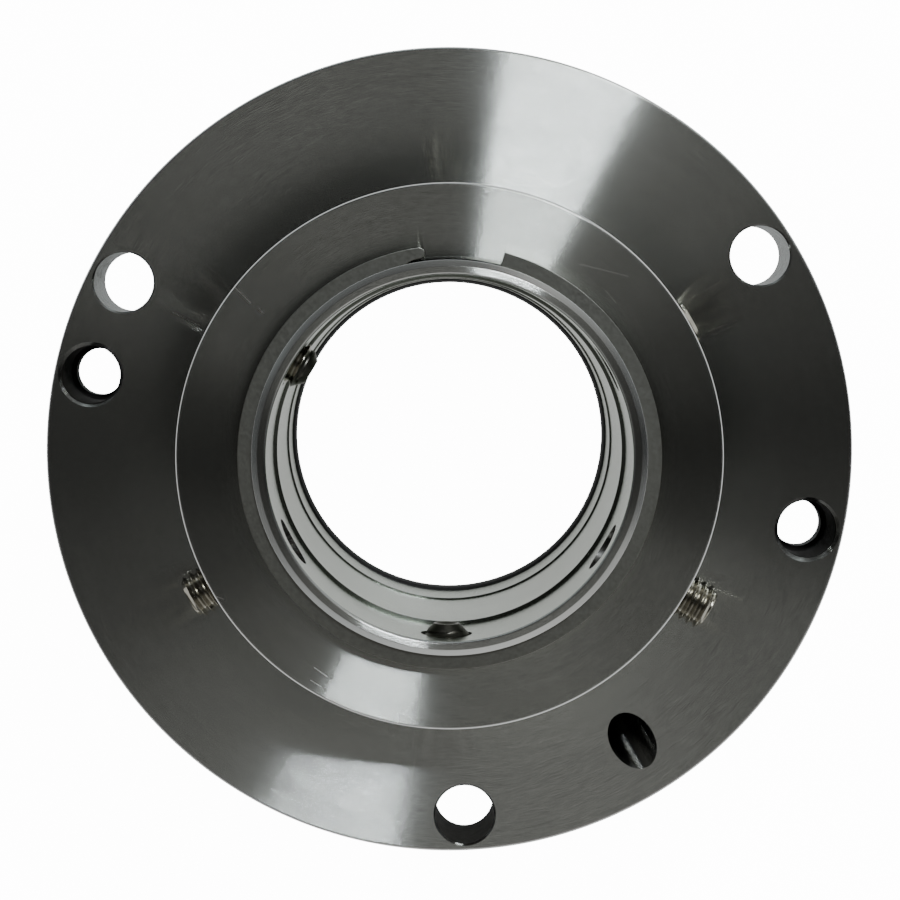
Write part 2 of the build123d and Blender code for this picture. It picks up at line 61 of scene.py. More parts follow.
# ------------------------------------------------------------------ dimensions
# Grooves are given by their inboard and outboard sides and the radius of their floor.
flange_radius = high("gland_plate").x
flange_top = high("gland_plate").z
flange_chamfer = 0.4
flange_top_chamfer = 0.34
pilot_end = low("gland_plate").z
pilot_radius = 50.75
pilot_chamfer = 0.5
mounting_face = low("gland_o_ring").z
face_groove_radii = (53.5, 56.9)
face_groove_depth = 2.1
chamber_radius = 47.5
holder_ring_groove = (35.075, 36.175)
holder_ring_groove_radius = 48.9
nose_radius = 39.4
nose_end = 36.5
nose_groove = (37.4, 40.6)
nose_groove_radius = 37.3
web_height = high("wave_spring").z
bushing_radius = high("throttle_bushing").x
bushing_top = high("throttle_bushing").z
bushing_ring_groove = (43.75, 44.85)
bushing_ring_groove_radius = bushing_radius + 1.2
lip_radius = bushing_radius - 2.0

stud_circle = 63.5
stud_hole_radius = 5.15
stud_hole_angles = (32.4, 152.4, 272.4)
shaded_stud_hole_angle = 272.4
hole_chamfer = 0.3
jack_angles = (167.75, 347.75)
jack_pitch = 25.4 / 16
jack_major_radius = 5.35
jack_minor_radius = 5.0
jack_thread_depth = 12.3
jack_hole_radius = 4.12
jack_mouth_radius = 5.65
jack_mouth_inner_radius = 3.0
port_angle = 302.3
port_mouth = 59.6
port_radius = 3.82
port_slant = 43.9
port_depth = 22.0
port_tip = 2.0
port_shade_depth = 10.0
side_port_radius = 4.3
side_port_end = 58.05
side_port_tip = 2.58
side_port_mouth_depth = 0.9
side_port_height = flange_top - 9.0

collar_radius = high("drive_collar").x
collar_bore_radius = 33.45
collar_low = low("drive_collar").z
collar_top = high("drive_collar").z
collar_chamfer = 0.45
collar_rim_chamfer = (0.34, 0.31)
tapped_start = 29
tapped_length = 22
tapped_depth = 0.5
clip_radius = high("collar_retaining_ring").x
clip_low = low("collar_retaining_ring").z
clip_top = high("collar_retaining_ring").z
clip_inner_radius = 32.25
clip_opening = (75.0, 97.0)
clip_scallop_radius = 5.0
clip_finger = 1.85
clip_edge = 0.14

sleeve_length = high("shaft_sleeve").z
sleeve_radius = 33.3
sleeve_end_chamfer = (1.1, 0.9)
sleeve_edge_break = 0.08
clip_groove = (collar_top, collar_top + 1.67)
clip_groove_radius = sleeve_radius - 1.1
head_radius = high("shaft_sleeve").x
head_low = 15.0
head_top = 22.0
shoulder_chamfer = 1.0
tail_radius = 36.0
bore_radius = 30.19
bore_chamfer = 0.35
step_bore_radius = 29.85
relief_bore_radius = 30.81
step_height = 20.0
relief_height = 49.0
window_radius = 4.4
window_span = (26, 38)
shaft_ring_groove = (4.7, 9.5)
shaft_ring_groove_radius = 32.68

screw_count = 6
screw_start = 29.0
screw_height = (collar_low + collar_top) / 2
screw_radius = 3.97
screw_clearance = 0.05
screw_root_radius = 3.30
screw_pitch = 25.4 / 18
screw_length = 12.7
screw_points = (34.4, 33.5, 27.5, 37.9, 28.8, 38.8)
screw_turn = 17
screw_end_radii = (2.2, 3.2)
screw_point_length = 2.0
cup_depth = 1.1
cup_radius = 1.9
socket_across = 3.97
socket_depth = 4.5
socket_tip = 0.9
socket_lead_depth = 0.5

edge_break = 0.12
body_segments = 320
thread_segments = 48

# Numbers of the materials on the flange and the collar, on the sleeve and on a screw.
HOLE, THREAD, EDGE, SHADED, MOUTH = 1, 2, 3, 4, 5
SLEEVE_EDGE, SLEEVE_BORE = 2, 3
SCREW_POINT = 1

# --------------------------------------------------------------------- meshes
# A cut keeps the numbers of its faces' materials only if both meshes hold that many.
stand_ins = [bpy.data.materials.new(f"stand_in_{i}") for i in range(6)]


def closed_mesh(name, points, faces, surface=0):
    """Object from points in millimetres, with doubled points merged and caps filled."""
    mesh = bpy.data.meshes.new(name)
    mesh.from_pydata([Vector(p) * MM for p in points], [], faces)
    for stand_in in stand_ins:
        mesh.materials.append(stand_in)
    bm = bmesh.new()
    bm.from_mesh(mesh)
    bmesh.ops.remove_doubles(bm, verts=bm.verts, dist=1e-7)
    bmesh.ops.dissolve_degenerate(bm, edges=bm.edges, dist=1e-7)
    open_edges = [e for e in bm.edges if e.is_boundary]
    if open_edges:
        bmesh.ops.holes_fill(bm, edges=open_edges)
    bmesh.ops.recalc_face_normals(bm, faces=bm.faces)
    for face in bm.faces:
        face.material_index = surface
    bm.to_mesh(mesh)
    bm.free()
    obj = bpy.data.objects.new(name, mesh)
    bpy.context.scene.collection.objects.link(obj)
    return obj


def turned(name, outline, segments=64, surface=0):
    """Solid turned about Z from a closed outline of (radius, height) points."""
    count = len(outline)
    points = []
    for i in range(segments):
        turn = 2 * math.pi * i / segments
        points += [(r * math.cos(turn), r * math.sin(turn), z) for r, z in outline]
    faces = []
    for i in range(segments):
        here, there = i * count, (i + 1) % segments * count
        for j in range(count):
            k = (j + 1) % count
            if outline[j][0] > 0 or outline[k][0] > 0:
                faces.append((here + j, there + j, there + k, here + k))
    return closed_mesh(name, points, faces, surface)


def rounded(outline, size=edge_break):
    """The outline with its outer corners rounded off, size mm back along both sides."""
    steps = 2
    least_bend = math.radians(30)
    least_room = 0.02
    points = [Vector(point) for point in outline]
    ring = list(zip(points[-1:] + points[:-1], points, points[1:] + points[:1]))
    area = sum(here.x * on.y - on.x * here.y for _, here, on in ring)
    out = []
    for back, here, on in ring:
        inward, outward = here - back, on - here
        bend = inward.x * outward.y - outward.x * inward.y
        # A little under half, so that the roundings at a side's two ends never meet.
        room = min(inward.length, outward.length) / 2.2
        if bend * area > 0 and inward.angle(outward) > least_bend and room > least_room:
            reach = min(size, room)
            first = here - inward.normalized() * reach
            last = here + outward.normalized() * reach
            for i in range(steps + 1):
                t = i / steps
                point = first * (1 - t) ** 2 + here * (2 * t * (1 - t)) + last * t**2
                out.append(tuple(point))
        else:
            out.append(tuple(here))
    return out


def thread(name, major, root, pitch, length, ends, surface=0):
    """Round bar along Z with a 60 degree thread.

    Each end has a 45 degree chamfer that starts at its radius in ends, which is below
    the root's.
    """
    # One turn's outline: shares of the pitch, and of the way from the root to the crest.
    shape = (
        (0.0, 0.90),
        (0.03, 1.0),
        (0.095, 1.0),
        (0.125, 0.90),
        (0.42, 0.08),
        (0.47, 0.0),
        (0.66, 0.0),
        (0.71, 0.08),
    )
    segments = thread_segments
    turns = math.ceil(length / pitch) + 2
    rows = [(t + at, rise) for t in range(turns) for at, rise in shape]
    points = []
    for i in range(segments):
        for at, rise in rows:
            z = (at - 1 + i / segments) * pitch
            z = min(max(z, 0), length)
            r = root + (major - root) * rise
            r = min(r, ends[0] + z, ends[1] + length - z)
            turn = 2 * math.pi * i / segments
            points.append((r * math.cos(turn), r * math.sin(turn), z))
    count = len(rows)
    faces = []
    for i in range(segments):
        # The last column of faces climbs one turn, to meet the first.
        step = len(shape) if i == segments - 1 else 0
        there = (i + 1) % segments * count
        for j in range(count - 1 - step):
            a = i * count + j
            b = there + j + step
            faces.append((a, b, b + 1, a + 1))
    return closed_mesh(name, points, faces, surface)


def in_metres(matrix):
    """The matrix with its shift turned from millimetres into metres."""
    matrix = matrix.copy()
    matrix.translation *= MM
    return matrix


def place(obj, matrix):
    """Move an object's mesh by a matrix whose shift is in millimetres."""
    obj.data.transform(in_metres(matrix))
    return obj


def shift(x=0, y=0, z=0):
    return Matrix.Translation((x, y, z))


def spin(angle, axis="Z"):
    return Matrix.Rotation(math.radians(angle), 4, axis)


def screw_axis(i):
    """Frame of screw number i: its z runs out from the seal's axis along the screw."""
    return spin(screw_start + 360 // screw_count * i) @ shift(z=screw_height) @ spin(90, "Y")


def applied(obj):
    """Put the object's mesh as its modifiers leave it in place of its own."""
    graph = bpy.context.evaluated_depsgraph_get()
    mesh = bpy.data.meshes.new_from_object(obj.evaluated_get(graph))
    obj.modifiers.clear()
    old = obj.data
    obj.data = mesh
    bpy.data.meshes.remove(old)
    return obj


def cut(obj, cutter):
    """Take the cutter out of obj and delete it."""
    boolean = obj.modifiers.new("cut", "BOOLEAN")
    boolean.operation = "DIFFERENCE"
    boolean.solver = "EXACT"
    boolean.object = cutter
    bpy.context.view_layer.update()
    applied(obj)
    bpy.data.objects.remove(cutter)
    return obj


def smooth(obj, angle=24):
    """Smooth shading, with edges sharper than the angle kept crisp."""
    bm = bmesh.new()
    bm.from_mesh(obj.data)
    for face in bm.faces:
        face.smooth = True
    for edge in bm.edges:
        shared = len(edge.link_faces) == 2
        edge.smooth = shared and edge.calc_face_angle(0) < math.radians(angle)
    bm.to_mesh(obj.data)
    bm.free()
    # Large faces keep their own normals, so narrow rounded edges show as crisp lines.
    weighted = obj.modifiers.new("normals", "WEIGHTED_NORMAL")
    weighted.keep_sharp = True
    weighted.weight = 100
    return obj


def finish_slopes(obj, surface, first=0):
    """Give a turned piece's chamfers and rounded edges the material numbered surface.

    Only faces of the material numbered first change, and of these only the ones whose
    normals lie well off both the level and Z.
    """
    least_rise, greatest_rise = 0.3, 0.97
    for face in obj.data.polygons:
        rise = abs(face.normal.z)
        if face.material_index == first and least_rise < rise < greatest_rise:
            face.material_index = surface
    return obj


def dress(obj, *materials):
    """Give the mesh these materials, and leave the numbers of its faces' materials."""
    held = obj.data.materials
    while len(held) > len(materials):
        held.pop()
    for i, material in enumerate(materials):
        if i < len(held):
            held[i] = material
        else:
            held.append(material)
    return obj


# ------------------------------------------------------------------ materials
class Graph:
    """A tree of shader nodes, with short calls for the nodes used here."""

    def __init__(self, tree):
        self.tree = tree

    def node(self, kind, **settings):
        made = self.tree.nodes.new(kind)
        for key, value in settings.items():
            setattr(made, key, value)
        return made

    def link(self, source, target):
        self.tree.links.new(source, target)

    def feed(self, socket, value):
        if isinstance(value, bpy.types.NodeSocket):
            self.link(value, socket)
        else:
            socket.default_value = value

    def math(self, operation, a, b=0.0, c=0.0):
        made = self.node("ShaderNodeMath", operation=operation)
        for socket, value in zip(made.inputs, (a, b, c)):
            self.feed(socket, value)
        return made.outputs[0]

    def add(self, a, b):
        return self.math("ADD", a, b)

    def times(self, a, b):
        return self.math("MULTIPLY", a, b)

    def hypotenuse(self, a, b):
        return self.math("SQRT", self.add(self.times(a, a), self.times(b, b)))

    def vector_math(self, operation, a, b=None, scale=None):
        made = self.node("ShaderNodeVectorMath", operation=operation)
        self.feed(made.inputs[0], a)
        if b is not None:
            self.feed(made.inputs[1], b)
        if scale is not None:
            self.feed(made.inputs["Scale"], scale)
        return made.outputs[0]

    def vector(self, x, y, z):
        made = self.node("ShaderNodeCombineXYZ")
        for socket, value in zip(made.inputs, (x, y, z)):
            self.feed(socket, value)
        return made.outputs[0]

    def split(self, vector):
        made = self.node("ShaderNodeSeparateXYZ")
        self.link(vector, made.inputs[0])
        return made.outputs

    def noise(self, vector, scale, detail, roughness):
        made = self.node("ShaderNodeTexNoise")
        self.link(vector, made.inputs["Vector"])
        made.inputs["Scale"].default_value = scale
        made.inputs["Detail"].default_value = detail
        made.inputs["Roughness"].default_value = roughness
        return made.outputs["Fac"]

    def ramp(self, value, low_value, high_value, start, end, kind="LINEAR"):
        """Number that runs from low_value to high_value as value runs start to end."""
        made = self.node("ShaderNodeMapRange", interpolation_type=kind, clamp=True)
        self.feed(made.inputs["Value"], value)
        made.inputs["From Min"].default_value = start
        made.inputs["From Max"].default_value = end
        made.inputs["To Min"].default_value = low_value
        made.inputs["To Max"].default_value = high_value
        return made.outputs["Result"]

    def colours(self, value, first, second, blend="MIX"):
        made = self.node("ShaderNodeMix", data_type="RGBA", blend_type=blend)
        self.feed(made.inputs["Factor"], value)
        for socket, colour in zip((made.inputs["A"], made.inputs["B"]), (first, second)):
            self.feed(socket, (*colour, 1) if isinstance(colour, tuple) else colour)
        return made.outputs["Result"]


class Surface(Graph):
    """A material round one principled shader."""

    def __init__(self, name):
        self.material = bpy.data.materials.new(name)
        self.material.use_nodes = True
        super().__init__(self.material.node_tree)
        self.tree.nodes.clear()
        out = self.node("ShaderNodeOutputMaterial")
        self.shader = self.node("ShaderNodeBsdfPrincipled")
        self.link(self.shader.outputs[0], out.inputs["Surface"])

    def shade(self, name, value):
        """Feed one input of the shader."""
        self.feed(self.shader.inputs[name], value)

    def bump(self, height, depth_mm):
        made = self.node("ShaderNodeBump")
        made.inputs["Strength"].default_value = 1.0
        made.inputs["Distance"].default_value = depth_mm * MM
        self.link(height, made.inputs["Height"])
        self.shade("Normal", made.outputs[0])

    def to_world(self, vector):
        made = self.node(
            "ShaderNodeVectorTransform",
            vector_type="VECTOR",
            convert_from="OBJECT",
            convert_to="WORLD",
        )
        self.link(vector, made.inputs[0])
        return made.outputs[0]

    def place_mm(self):
        """Object coordinates in millimetres, as a vector and as x, y and z."""
        where = self.node("ShaderNodeTexCoord").outputs["Object"]
        scaled = self.vector_math("SCALE", where, scale=1 / MM)
        return scaled, self.split(scaled)


def scratch_mask(g, place, lines, height):
    """How far a point lies in a scratch, from 0 to 1, on the face at this height.

    Each line is its two ends, its half width and its strength.
    """
    x, y, z = place
    mask = 0.0
    for (x0, y0), (x1, y1), width, strength in lines:
        length = math.hypot(x1 - x0, y1 - y0)
        run, rise = (x1 - x0) / length, (y1 - y0) / length
        along = g.math("MULTIPLY_ADD", y, rise, -x0 * run - y0 * rise)
        along = g.math("MULTIPLY_ADD", x, run, along)
        along = g.ramp(along, 0, length, 0, length)
        off_x = g.math("SUBTRACT", x, g.math("MULTIPLY_ADD", along, run, x0))
        off_y = g.math("SUBTRACT", y, g.math("MULTIPLY_ADD", along, rise, y0))
        away = g.hypotenuse(off_x, off_y)
        mask = g.math("MAXIMUM", mask, g.ramp(away, strength, 0.0, width * 0.3, width))
    return g.times(mask, g.math("GREATER_THAN", z, height - 0.05))


def turned_metal(name, first, second, roughness, tilt, feed, scratches=(), scratched_height=0):
    """Metal turned on a lathe.

    The tool leaves scallops round Z, feed mm apart, whose sides tilt by up to tilt, so
    each light draws a wedge with straight sides. The rings vary and break up slowly.
    """
    g = Surface(name)
    where, (x, y, z) = g.place_mm()
    radius = g.hypotenuse(x, y)
    along = g.add(radius, z)
    round_x = g.math("DIVIDE", x, radius)
    round_y = g.math("DIVIDE", y, radius)

    def rings(per_mm, breaks, detail):
        """Noise that changes quickly across the rings and slowly along them."""
        broken_x, broken_y = g.times(round_x, breaks), g.times(round_y, breaks)
        scaled = g.vector(g.times(along, per_mm), broken_x, broken_y)
        return g.noise(scaled, 1.0, detail, 0.6)

    fine = rings(1.3, 5.0, 3.0)
    broad = rings(0.5, 4.0, 2.0)
    smudge = g.noise(where, 0.07, 3.0, 0.6)
    # One scallop is a parabola, so its tilt runs straight from one side to the other.
    wander = g.times(fine, 2.5)
    step = g.math("FRACT", g.add(g.math("DIVIDE", along, feed), wander))
    side = g.math("SUBTRACT", g.times(step, 2.0), 1.0)
    depth = g.times(g.ramp(fine, 0.94, 1.06, 0.25, 0.75), g.ramp(broad, 0.96, 1.04, 0.3, 0.7))
    slope = g.times(side, g.times(depth, tilt))
    # Tilt the normal across the rings.
    normal = g.node("ShaderNodeNewGeometry").outputs["Normal"]
    ring = g.vector_math("CROSS_PRODUCT", (0, 0, 1), where)
    ring = g.vector_math("NORMALIZE", g.to_world(ring))
    across = g.vector_math("CROSS_PRODUCT", ring, normal)
    tilted = g.vector_math("ADD", normal, g.vector_math("SCALE", across, scale=slope))
    g.shade("Normal", g.vector_math("NORMALIZE", tilted))

    tone = g.add(g.times(fine, 0.5), g.times(broad, 0.5))
    colour = g.colours(g.ramp(tone, 0, 1, 0.3, 0.7), first, second)
    shine = g.ramp(smudge, roughness * 0.92, roughness * 1.12, 0.35, 0.65)
    if scratches:
        mask = scratch_mask(g, (x, y, z), scratches, scratched_height)
        colour = g.colours(mask, colour, (0.95, 0.95, 0.93))
        shine = g.math("MAXIMUM", shine, g.times(mask, 0.5))
    g.shade("Base Color", colour)
    g.shade("Metallic", 1.0)
    g.shade("Roughness", shine)
    # The rings draw light out across themselves.
    g.shade("Anisotropic", 1.0)
    g.shade("Anisotropic Rotation", 0.25)
    tangent = g.node("ShaderNodeTangent", direction_type="RADIAL", axis="Z")
    g.shade("Tangent", tangent.outputs[0])
    return g.material


def even_metal(name, colour, roughness):
    """Metal of the narrow chamfers and rounded edges: a clean, even shine."""
    g = Surface(name)
    g.shade("Base Color", (*colour, 1))
    g.shade("Metallic", 1.0)
    g.shade("Roughness", roughness)
    return g.material


def drilled_metal(name, colour, roughness, grain=0.7):
    """Metal of drilled and milled walls: an even shine with tool marks."""
    g = Surface(name)
    where, _ = g.place_mm()
    marks = g.noise(where, grain, 4.0, 0.6)
    dark = tuple(c * 0.8 for c in colour)
    g.shade("Base Color", g.colours(marks, dark, colour))
    g.shade("Metallic", 1.0)
    g.shade("Roughness", g.ramp(marks, roughness - 0.06, roughness + 0.08, 0.3, 0.7))
    g.bump(marks, 0.004)
    return g.material


def matt_solid(name, first, second, roughness, grain, depth_mm, metallic=0.0, coat=0.0):
    """Even surface with a fine grain."""
    g = Surface(name)
    where, _ = g.place_mm()
    grains = g.noise(where, grain, 4.0, 0.65)
    g.shade("Base Color", g.colours(grains, first, second))
    g.shade("Metallic", metallic)
    g.shade("Coat Weight", coat)
    g.shade("Roughness", g.ramp(grains, roughness - 0.05, roughness + 0.06, 0.3, 0.7))
    g.bump(grains, depth_mm)
    return g.material


# Light scratches from handling: two ends, half width and strength of each.
flange_scratches = (
    ((-47.8, 24.2), (-43.0, 21.8), 0.16, 0.55),
    ((40.2, 25.9), (46.8, 29.4), 0.30, 0.25),
    ((44.6, 20.9), (47.7, 22.1), 0.22, 0.30),
    ((44.6, 19.0), (48.9, 20.7), 0.22, 0.25),
)
collar_scratches = (
    ((-35.9, 28.5), (-33.4, 26.0), 0.14, 1.0),
    ((-32.1, 25.1), (-31.4, 24.4), 0.14, 0.9),
    ((22.0, 32.5), (29.9, 30.5), 0.20, 0.30),
    ((26.2, 28.1), (27.9, 26.1), 0.16, 0.35),
    ((-22.9, -35.6), (-20.7, -37.2), 0.14, 0.7),
    ((-23.5, -37.8), (-21.7, -38.9), 0.12, 0.6),
    ((-8.8, -43.6), (-8.8, -46.0), 0.14, 0.8),
    ((-40.9, -23.0), (-38.2, -24.0), 0.15, 0.9),
)
turned_steel = turned_metal(
    "turned_steel",
    (0.558, 0.568, 0.543),
    (0.578, 0.588, 0.563),
    roughness=0.19,
    tilt=0.52,
    feed=0.14,
    scratches=flange_scratches,
    scratched_height=flange_top,
)
collar_steel = turned_metal(
    "collar_steel",
    (0.43, 0.438, 0.415),
    (0.45, 0.458, 0.435),
    roughness=0.20,
    tilt=0.66,
    feed=0.13,
    scratches=collar_scratches,
    scratched_height=collar_top,
)
bore_steel = turned_metal(
    "bore_steel",
    (0.43, 0.465, 0.41),
    (0.50, 0.54, 0.475),
    roughness=0.14,
    tilt=0.05,
    feed=0.07,
)
# A darker copy of the turned steel for the mouths of holes and the port's upper wall: painted
# shade.
shaded_mouth_steel = turned_metal(
    "shaded_mouth_steel",
    (0.26, 0.26, 0.25),
    (0.30, 0.30, 0.29),
    roughness=0.17,
    tilt=0.3,
    feed=0.07,
)
edge_steel = even_metal("edge_steel", (0.66, 0.66, 0.65), 0.16)
hole_steel = drilled_metal("hole_steel", (0.46, 0.45, 0.43), 0.26)
thread_steel = drilled_metal("thread_steel", (0.50, 0.48, 0.45), 0.24)
screw_steel = drilled_metal("screw_steel", (0.44, 0.42, 0.36), 0.20, 1.6)
# The screws' points, which stand in the bore, are a darker copy of the screws' steel: painted
# shade.
shaded_point_steel = drilled_metal("shaded_point_steel", (0.13, 0.125, 0.11), 0.36, 1.6)
pin_steel = drilled_metal("pin_steel", (0.5, 0.5, 0.49), 0.22, 1.2)
# Near-black wall for the depths of holes: painted shade.
painted_hole_shade = matt_solid(
    "painted_hole_shade", (0.012, 0.011, 0.010), (0.022, 0.020, 0.017), 0.5, 0.7, 0.004
)
spring_steel = matt_solid(
    "spring_steel", (0.30, 0.30, 0.27), (0.37, 0.37, 0.34), 0.40, 2.2, 0.004, metallic=1.0
)
carbon = matt_solid(
    "carbon", (0.030, 0.030, 0.033), (0.055, 0.055, 0.060), 0.42, 3.0, 0.004
)
ceramic = matt_solid(
    "ceramic", (0.07, 0.07, 0.078), (0.10, 0.10, 0.11), 0.2, 2.0, 0.001, coat=0.3
)
elastomer = matt_solid(
    "elastomer", (0.008, 0.008, 0.008), (0.016, 0.016, 0.016), 0.45, 4.0, 0.006
)


# --------------------------------------------------------------- gland flange
def hole_cutter(name, radius, mouth=0.0):
    """Cutter for a straight hole about Z, right through the flange.

    It has a 45 degree chamfer at the mounting face; mouth is the size of one on top.
    """
    outline = [
        (0, mounting_face - 1),
        (radius + hole_chamfer + 1, mounting_face - 1),
        (radius + hole_chamfer, mounting_face),
        (radius, mounting_face + hole_chamfer),
    ]
    if mouth:
        outline += [(radius, flange_top - mouth), (radius + mouth + 1, flange_top + 1)]
    else:
        outline.append((radius, flange_top + 1))
    outline.append((0, flange_top + 1))
    return finish_slopes(turned(name, outline, surface=HOLE), MOUTH, HOLE)


def paint_hole_shade(cutter, height=math.inf):
    """Give a cutter, or the part below this height, the near-black wall that paints the shade
    deep in a hole.
    """
    for face in cutter.data.polygons:
        if face.center.z < height * MM:
            face.material_index = SHADED
    return cutter


def gland_outline():
    return [
        (chamber_radius, pilot_end + pilot_chamfer),
        (chamber_radius + pilot_chamfer, pilot_end),
        (pilot_radius - pilot_chamfer, pilot_end),
        (pilot_radius, pilot_end + pilot_chamfer),
        (pilot_radius, mounting_face),
        (face_groove_radii[0], mounting_face),
        (face_groove_radii[0], mounting_face + face_groove_depth),
        (face_groove_radii[1], mounting_face + face_groove_depth),
        (face_groove_radii[1], mounting_face),
        (flange_radius - flange_chamfer, mounting_face),
        (flange_radius, mounting_face + flange_chamfer),
        (flange_radius, flange_top - flange_top_chamfer),
        (flange_radius - flange_chamfer, flange_top),
        (lip_radius, flange_top),
        (lip_radius, bushing_top),
        (bushing_radius, bushing_top),
        (bushing_radius, bushing_ring_groove[1]),
        (bushing_ring_groove_radius, bushing_ring_groove[1]),
        (bushing_ring_groove_radius, bushing_ring_groove[0]),
        (bushing_radius, bushing_ring_groove[0]),
        (bushing_radius, nose_end),
        (nose_radius - flange_chamfer, nose_end),
        (nose_radius, nose_end + flange_chamfer),
        (nose_radius, nose_groove[0]),
        (nose_groove_radius, nose_groove[0]),
        (nose_groove_radius, nose_groove[1]),
        (nose_radius, nose_groove[1]),
        (nose_radius, web_height),
        (chamber_radius, web_height),
        (chamber_radius, holder_ring_groove[1]),
        (holder_ring_groove_radius, holder_ring_groove[1]),
        (holder_ring_groove_radius, holder_ring_groove[0]),
        (chamber_radius, holder_ring_groove[0]),
    ]


def cut_jack_hole(gland, at):
    """Tapped hole: wide and threaded from the top, and narrow below."""
    # The thread's cutter stands out of the flange, which keeps its chamfered end clear.
    spare = 2.0
    length = jack_thread_depth + spare
    ends = (jack_hole_radius + 0.2, jack_major_radius - spare + 0.2)
    radii = (jack_major_radius, jack_minor_radius)
    # The thread and the narrow hole below take the near-black wall, and the cone on top the
    # darker mouth steel: painted shade.
    tapped = thread("tapped", *radii, jack_pitch, length, ends, surface=SHADED)
    cut(gland, place(tapped, at @ shift(z=flange_top - jack_thread_depth)))
    cut(gland, place(paint_hole_shade(hole_cutter("jack_hole", jack_hole_radius)), at))
    mouth_end = flange_top - (jack_mouth_radius - jack_mouth_inner_radius)
    cone = [
        (0, mouth_end),
        (jack_mouth_inner_radius, mouth_end),
        (jack_mouth_radius + 1, flange_top + 1),
        (0, flange_top + 1),
    ]
    cut(gland, place(turned("mouth", cone, surface=MOUTH), at))


def cut_ports(gland):
    """Slanted drilling from the top, and the side port that meets it."""
    above = 8
    drill_outline = [
        (0, -port_depth - port_tip),
        (port_radius, -port_depth),
        (port_radius, -port_shade_depth),
        (port_radius, above),
        (0, above),
    ]
    # Deep down the drilling's wall is near-black, and higher up it takes the darker mouth
    # steel: painted shade.
    drill = paint_hole_shade(turned("slanted_port", drill_outline, surface=MOUTH), -port_shade_depth)
    slanted = spin(port_angle) @ shift(port_mouth, 0, flange_top) @ spin(port_slant, "Y")
    cut(gland, place(drill, slanted))
    side_outline = [
        (0, side_port_end - side_port_tip),
        (side_port_radius, side_port_end),
        (side_port_radius, flange_radius - side_port_mouth_depth),
        (side_port_radius + side_port_mouth_depth + 1, flange_radius + 1),
        (0, flange_radius + 1),
    ]
    across = spin(port_angle) @ shift(z=side_port_height) @ spin(90, "Y")
    cut(gland, place(turned("side_port", side_outline, surface=HOLE), across))


def make_gland():
    outline = rounded(gland_outline())
    gland = finish_slopes(turned("gland_body", outline, body_segments), EDGE)
    for angle in stud_hole_angles:
        hole = hole_cutter("stud_hole", stud_hole_radius, hole_chamfer)
        # The wall of this one stud hole, below its chamfer, is near-black: painted shade.
        if angle == shaded_stud_hole_angle:
            paint_hole_shade(hole, flange_top - hole_chamfer)
        cut(gland, place(hole, spin(angle) @ shift(stud_circle)))
    for angle in jack_angles:
        cut_jack_hole(gland, spin(angle) @ shift(stud_circle))
    cut_ports(gland)
    smooth(gland)
    dress(gland, turned_steel, hole_steel, thread_steel, edge_steel, painted_hole_shade, shaded_mouth_steel)
    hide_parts("gland_plate")
    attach(gland, "gland")


# --------------------------------------------------------------- drive collar
def make_collar():
    rim_width, rim_depth = collar_rim_chamfer
    outline = [
        (collar_bore_radius, collar_low + collar_chamfer),
        (collar_bore_radius + collar_chamfer, collar_low),
        (collar_radius - collar_chamfer, collar_low),
        (collar_radius, collar_low + collar_chamfer),
        (collar_radius, collar_top - rim_depth),
        (collar_radius - rim_width, collar_top),
        (collar_bore_radius + collar_chamfer, collar_top),
        (collar_bore_radius, collar_top - collar_chamfer),
    ]
    collar = finish_slopes(turned("collar_body", rounded(outline), body_segments), EDGE)
    # The screws slide without turning, so the thread's crests clear them.
    crest = screw_radius + screw_clearance
    outer = crest + tapped_depth
    start, length = tapped_start, tapped_length
    ends = (2, 2)
    # The mouth of a screw's hole: a short lead at the thread, then a wide flare.
    cone = [(0, 44.0), (3.0, 44.0), (3.9, 44.6), (5.9, 47.4), (0, 47.4)]
    for i in range(screw_count):
        tapped = thread("tapped", outer, crest, screw_pitch, length, ends, THREAD)
        cut(collar, place(tapped, screw_axis(i) @ shift(z=start)))
        cut(collar, place(turned("mouth", cone, surface=HOLE), screw_axis(i)))
    smooth(collar)
    dress(collar, collar_steel, hole_steel, thread_steel, edge_steel)
    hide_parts("drive_collar")
    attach(collar, "rotor")


